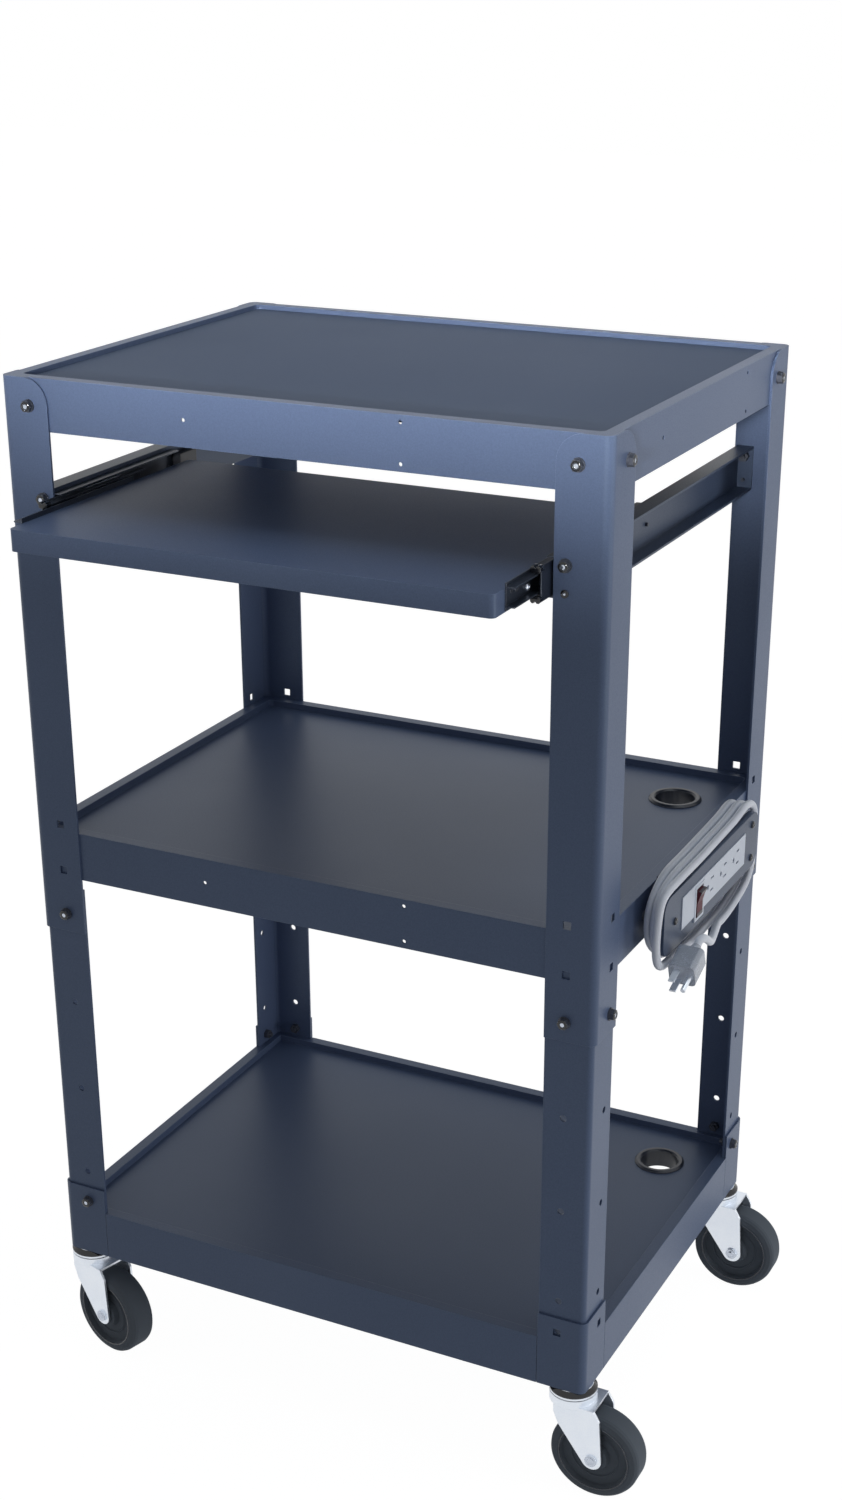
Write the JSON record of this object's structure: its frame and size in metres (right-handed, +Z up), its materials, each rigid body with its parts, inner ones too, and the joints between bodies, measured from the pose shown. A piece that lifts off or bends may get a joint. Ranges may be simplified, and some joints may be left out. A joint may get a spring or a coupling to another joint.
{
  "type": "rolling equipment cart",
  "caption": "Tall rolling steel equipment cart with flat trays, a sliding keyboard shelf, a side power strip with wound cord and swivel casters.",
  "frame": {"origin": "on the floor, under the centre of the four legs", "axes": "+Z up, X along the front, the shelf slides out toward -Y, right side with the power strip at +X"},
  "size_m": [0.6737, 0.5522, 1.0668],
  "materials": {
    "grey_paint": "fine-textured powder coat",
    "black_steel": "black oxide",
    "bright_steel": "zinc plated",
    "black_rubber": "matte",
    "wheel_rubber": "matte moulded",
    "white_plastic": "satin",
    "red_plastic": "satin",
    "pale_vinyl": "soft satin",
    "clear_vinyl": "translucent grey"
  },
  "bodies": {
    "frame": {"top_tray": "grey_paint", "top_mat": "black_rubber", "middle_tray": "grey_paint", "bottom_tray": "grey_paint", "leg_upper_fl": "grey_paint", "leg_upper_fr": "grey_paint", "leg_upper_bl": "grey_paint", "leg_upper_br": "grey_paint", "leg_lower_fl": "grey_paint", "leg_lower_fr": "grey_paint", "leg_lower_bl": "grey_paint", "leg_lower_br": "grey_paint", "corner_socket_fl": "grey_paint", "corner_socket_fr": "grey_paint", "corner_socket_bl": "grey_paint", "corner_socket_br": "grey_paint", "frame_bolts": "black_steel", "frame_nuts": "black_steel", "grommet_middle": "black_rubber", "grommet_bottom": "black_rubber", "rail_left": "grey_paint", "rail_right": "grey_paint", "slide_outer_left": "black_steel", "slide_outer_right": "black_steel", "stop_blocks": "black_rubber", "rail_screws": "bright_steel", "strip_housing": "grey_paint", "strip_plate": "white_plastic", "outlet_inserts": "white_plastic", "strip_screws": "black_steel", "strip_spacers": "black_steel", "cord_relief": "black_rubber", "cord_lead": "pale_vinyl", "cord_winding": "pale_vinyl", "cord_tail": "pale_vinyl", "plug_body": "clear_vinyl", "plug_pins": "bright_steel", "caster_bases": "bright_steel", "caster_nuts": "bright_steel", "caster_balls": "bright_steel"},
    "shelf": {"keyboard_shelf": "grey_paint", "slide_inner_left": "bright_steel", "slide_inner_right": "bright_steel"},
    "slide_middles": {"slide_middle_left": "bright_steel", "slide_middle_right": "bright_steel"},
    "outer_cages": {"cages_outer": "bright_steel"},
    "inner_cages": {"cages_inner": "bright_steel"},
    "rocker": {"rocker_switch": "red_plastic"},
    "swivel_fl": {"fork_fl": "bright_steel", "axle_fl": "bright_steel"},
    "roller_fl": {"wheel_fl": "wheel_rubber"},
    "swivel_fr": {"fork_fr": "bright_steel", "axle_fr": "bright_steel"},
    "roller_fr": {"wheel_fr": "wheel_rubber"},
    "swivel_bl": {"fork_bl": "bright_steel", "axle_bl": "bright_steel"},
    "roller_bl": {"wheel_bl": "wheel_rubber"},
    "swivel_br": {"fork_br": "bright_steel", "axle_br": "bright_steel"},
    "roller_br": {"wheel_br": "wheel_rubber"}
  },
  "joints": [
    {"name": "keyboard_slide", "type": "slide", "parent": "frame", "child": "shelf", "axis": [0, -1, 0], "range_m": [-0.0896, 0.111]},
    {"name": "slide_middle_travel", "type": "slide", "parent": "frame", "child": "slide_middles", "axis": [0, -1, 0], "range_m": [-0.0448, 0.0555]},
    {"name": "outer_cage_travel", "type": "slide", "parent": "frame", "child": "outer_cages", "axis": [0, -1, 0], "range_m": [-0.0224, 0.02775]},
    {"name": "inner_cage_travel", "type": "slide", "parent": "frame", "child": "inner_cages", "axis": [0, -1, 0], "range_m": [-0.0672, 0.08325]},
    {"name": "rocker_tilt", "type": "hinge", "parent": "frame", "child": "rocker", "pos_m": [0.3285, -0.045, 0.5878], "axis": [0, 1, 0], "range_deg": [-16, 0]},
    {"name": "caster_swivel_fl", "type": "hinge", "parent": "frame", "child": "swivel_fl", "pos_m": [-0.2858, -0.2086, 0.11], "axis": [0, 0, 1], "continuous": true},
    {"name": "wheel_spin_fl", "type": "hinge", "parent": "swivel_fl", "child": "roller_fl", "pos_m": [-0.25779, -0.21611, 0.0475], "axis": [0.2588, 0.9659, 0], "continuous": true},
    {"name": "caster_swivel_fr", "type": "hinge", "parent": "frame", "child": "swivel_fr", "pos_m": [0.2858, -0.2086, 0.11], "axis": [0, 0, 1], "continuous": true},
    {"name": "wheel_spin_fr", "type": "hinge", "parent": "swivel_fr", "child": "roller_fr", "pos_m": [0.3148, -0.2086, 0.0475], "axis": [0, 1, 0], "continuous": true},
    {"name": "caster_swivel_bl", "type": "hinge", "parent": "frame", "child": "swivel_bl", "pos_m": [-0.2858, 0.2086, 0.11], "axis": [0, 0, 1], "continuous": true},
    {"name": "wheel_spin_bl", "type": "hinge", "parent": "swivel_bl", "child": "roller_bl", "pos_m": [-0.2568, 0.2086, 0.0475], "axis": [0, 1, 0], "continuous": true},
    {"name": "caster_swivel_br", "type": "hinge", "parent": "frame", "child": "swivel_br", "pos_m": [0.2858, 0.2086, 0.11], "axis": [0, 0, 1], "continuous": true},
    {"name": "wheel_spin_br", "type": "hinge", "parent": "swivel_br", "child": "roller_br", "pos_m": [0.3148, 0.2086, 0.0475], "axis": [0, 1, 0], "continuous": true}
  ],
  "couplings": [
    {"joint": "slide_middle_travel", "follows": "keyboard_slide", "ratio": 0.5},
    {"joint": "outer_cage_travel", "follows": "keyboard_slide", "ratio": 0.25},
    {"joint": "inner_cage_travel", "follows": "keyboard_slide", "ratio": 0.75}
  ]
}
